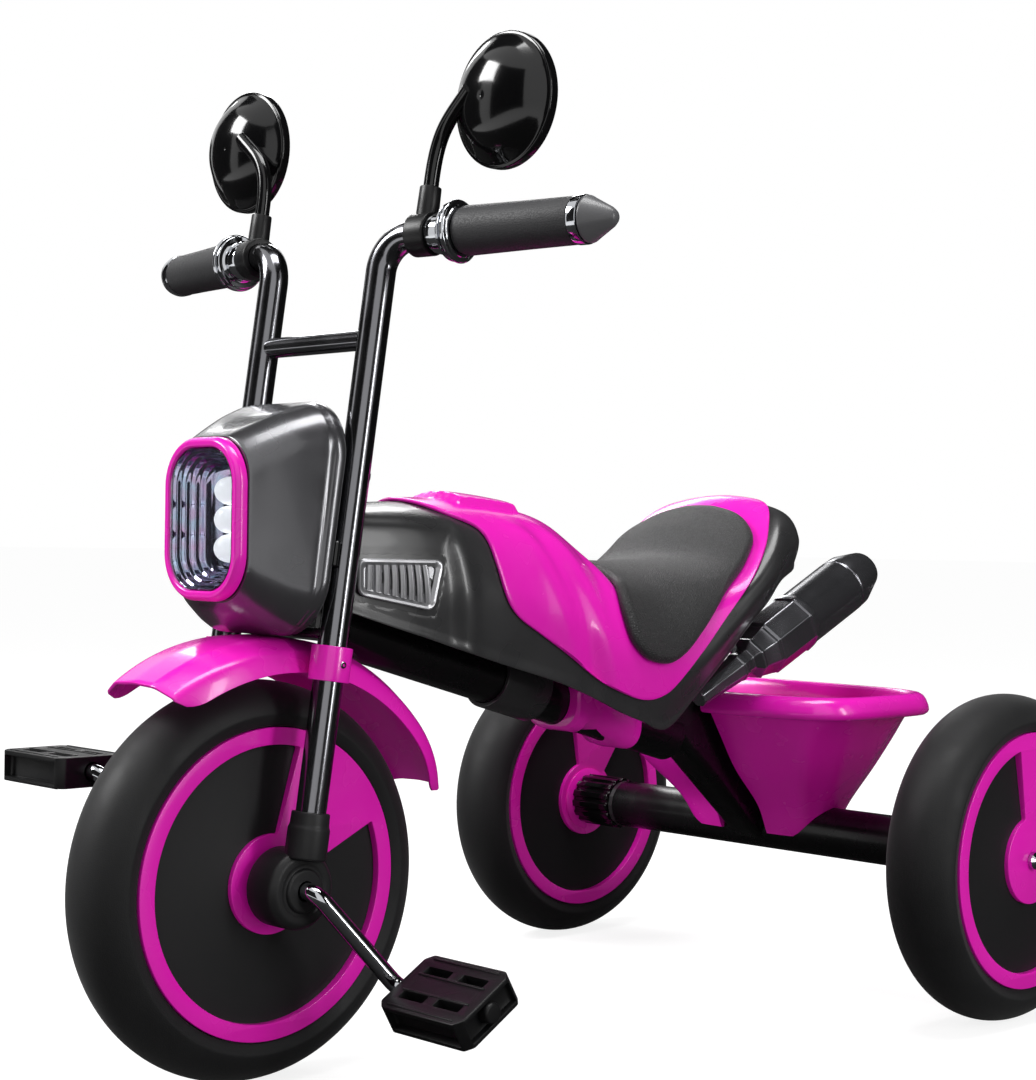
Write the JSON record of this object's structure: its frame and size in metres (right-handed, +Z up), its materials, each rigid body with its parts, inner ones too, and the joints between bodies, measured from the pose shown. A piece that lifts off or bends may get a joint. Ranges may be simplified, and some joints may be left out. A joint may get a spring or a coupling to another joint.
{
  "type": "child tricycle",
  "caption": "Child's pedal tricycle styled as a small motorbike, with a padded saddle, headlight, mirrors, mock silencers and a rear basket.",
  "frame": {"origin": "on the floor, at the middle of the tricycle's length and width", "axes": "+X to the rider's left, +Y to the rear, +Z up; the front wheel is at -Y"},
  "size_m": [0.5016, 0.751, 0.6499],
  "materials": {
    "pink_plastic": "bright pink glossy moulded plastic",
    "charcoal_plastic": "charcoal satin moulded plastic",
    "black_plastic": "black satin moulded plastic",
    "gunmetal_paint": "dark grey metallic paint on moulded plastic",
    "black_chrome": "gloss black coating that mirrors like chrome",
    "black_paint": "gloss black powder coat on steel",
    "chrome": "bright chrome plate",
    "reflector_chrome": "bright metallised plastic",
    "silver_plastic": "silver painted plastic",
    "tyre_foam": "dark grey smooth solid foam tyre",
    "grip_rubber": "dark grey soft rubber",
    "grained_vinyl": "black grained vinyl over foam",
    "clear_lens": "clear plastic",
    "mirror_face": "silvered mirror face"
  },
  "bodies": {
    "frame": {"head_tube": "black_paint", "head_bush_lower": "charcoal_plastic", "head_bush_upper": "charcoal_plastic", "backbone_tube": "black_paint", "rear_strut": "black_paint", "rear_axle_tube": "black_paint", "backbone_sleeve": "charcoal_plastic", "seat_bracket": "pink_plastic", "body_shell": "charcoal_plastic", "body_cover": "pink_plastic", "seat_pad": "grained_vinyl", "basket": "pink_plastic", "rear_axle_rod": "chrome", "vent_grille_left": "silver_plastic", "vent_grille_right": "silver_plastic", "exhaust_left": "black_chrome", "exhaust_right": "black_chrome", "axle_bush_left": "charcoal_plastic", "axle_bush_right": "charcoal_plastic"},
    "steering": {"handlebar_bridge": "black_chrome", "fork_crown_upper": "black_paint", "fork_crown_lower": "black_paint", "steering_stem_nut": "chrome", "front_fender": "pink_plastic", "headlight_housing": "gunmetal_paint", "headlight_bezel": "pink_plastic", "headlight_lens": "clear_lens", "headlight_reflector": "reflector_chrome", "headlight_bracket": "black_paint", "fork_bar_left": "black_chrome", "fork_bar_right": "black_chrome", "fork_end_left": "charcoal_plastic", "fork_end_right": "charcoal_plastic", "grip_left": "grip_rubber", "grip_right": "grip_rubber", "grip_collar_left": "chrome", "grip_collar_right": "chrome", "grip_cap_left": "charcoal_plastic", "grip_cap_right": "charcoal_plastic", "mirror_clamp_left": "black_plastic", "mirror_clamp_right": "black_plastic"},
    "front_wheel": {"front_tyre": "tyre_foam", "front_wheel_disc": "charcoal_plastic", "front_wheel_trim_left": "pink_plastic", "front_wheel_trim_right": "pink_plastic", "crank_axle": "chrome"},
    "pedal_left": {"pedal_left": "black_plastic"},
    "rear_wheel_left": {"rear_tyre_left": "tyre_foam", "rear_wheel_disc_left": "charcoal_plastic", "rear_trim_outer_left": "pink_plastic", "rear_trim_inner_left": "pink_plastic"},
    "mirror_left": {"mirror_housing_left": "black_plastic", "mirror_glass_left": "mirror_face"},
    "pedal_right": {"pedal_right": "black_plastic"},
    "rear_wheel_right": {"rear_tyre_right": "tyre_foam", "rear_wheel_disc_right": "charcoal_plastic", "rear_trim_outer_right": "pink_plastic", "rear_trim_inner_right": "pink_plastic"},
    "mirror_right": {"mirror_housing_right": "black_plastic", "mirror_glass_right": "mirror_face"}
  },
  "joints": [
    {"name": "steering_turn", "type": "hinge", "parent": "frame", "child": "steering", "pos_m": [0, -0.23071, 0.12208], "axis": [0, 0.1461, 0.9893], "range_deg": [-25, 25]},
    {"name": "front_wheel_turn", "type": "hinge", "parent": "steering", "child": "front_wheel", "pos_m": [0, -0.2505, 0.125], "axis": [1, 0, 0], "continuous": true},
    {"name": "pedal_left_turn", "type": "hinge", "parent": "front_wheel", "child": "pedal_left", "pos_m": [0.1358, -0.20114, 0.06383], "axis": [1, 0, 0], "continuous": true},
    {"name": "pedal_right_turn", "type": "hinge", "parent": "front_wheel", "child": "pedal_right", "pos_m": [-0.1358, -0.29986, 0.18617], "axis": [1, 0, 0], "continuous": true},
    {"name": "rear_wheel_left_turn", "type": "hinge", "parent": "frame", "child": "rear_wheel_left", "pos_m": [0.22, 0.2585, 0.117], "axis": [1, 0, 0], "continuous": true},
    {"name": "rear_wheel_right_turn", "type": "hinge", "parent": "frame", "child": "rear_wheel_right", "pos_m": [-0.22, 0.2585, 0.117], "axis": [1, 0, 0], "continuous": true},
    {"name": "mirror_left_turn", "type": "hinge", "parent": "steering", "child": "mirror_left", "pos_m": [0.08601, -0.1856, 0.52706], "axis": [0, 0.1461, 0.9893], "range_deg": [-30, 30]},
    {"name": "mirror_right_turn", "type": "hinge", "parent": "steering", "child": "mirror_right", "pos_m": [-0.08601, -0.1856, 0.52706], "axis": [0, 0.1461, 0.9893], "range_deg": [-30, 30]}
  ]
}
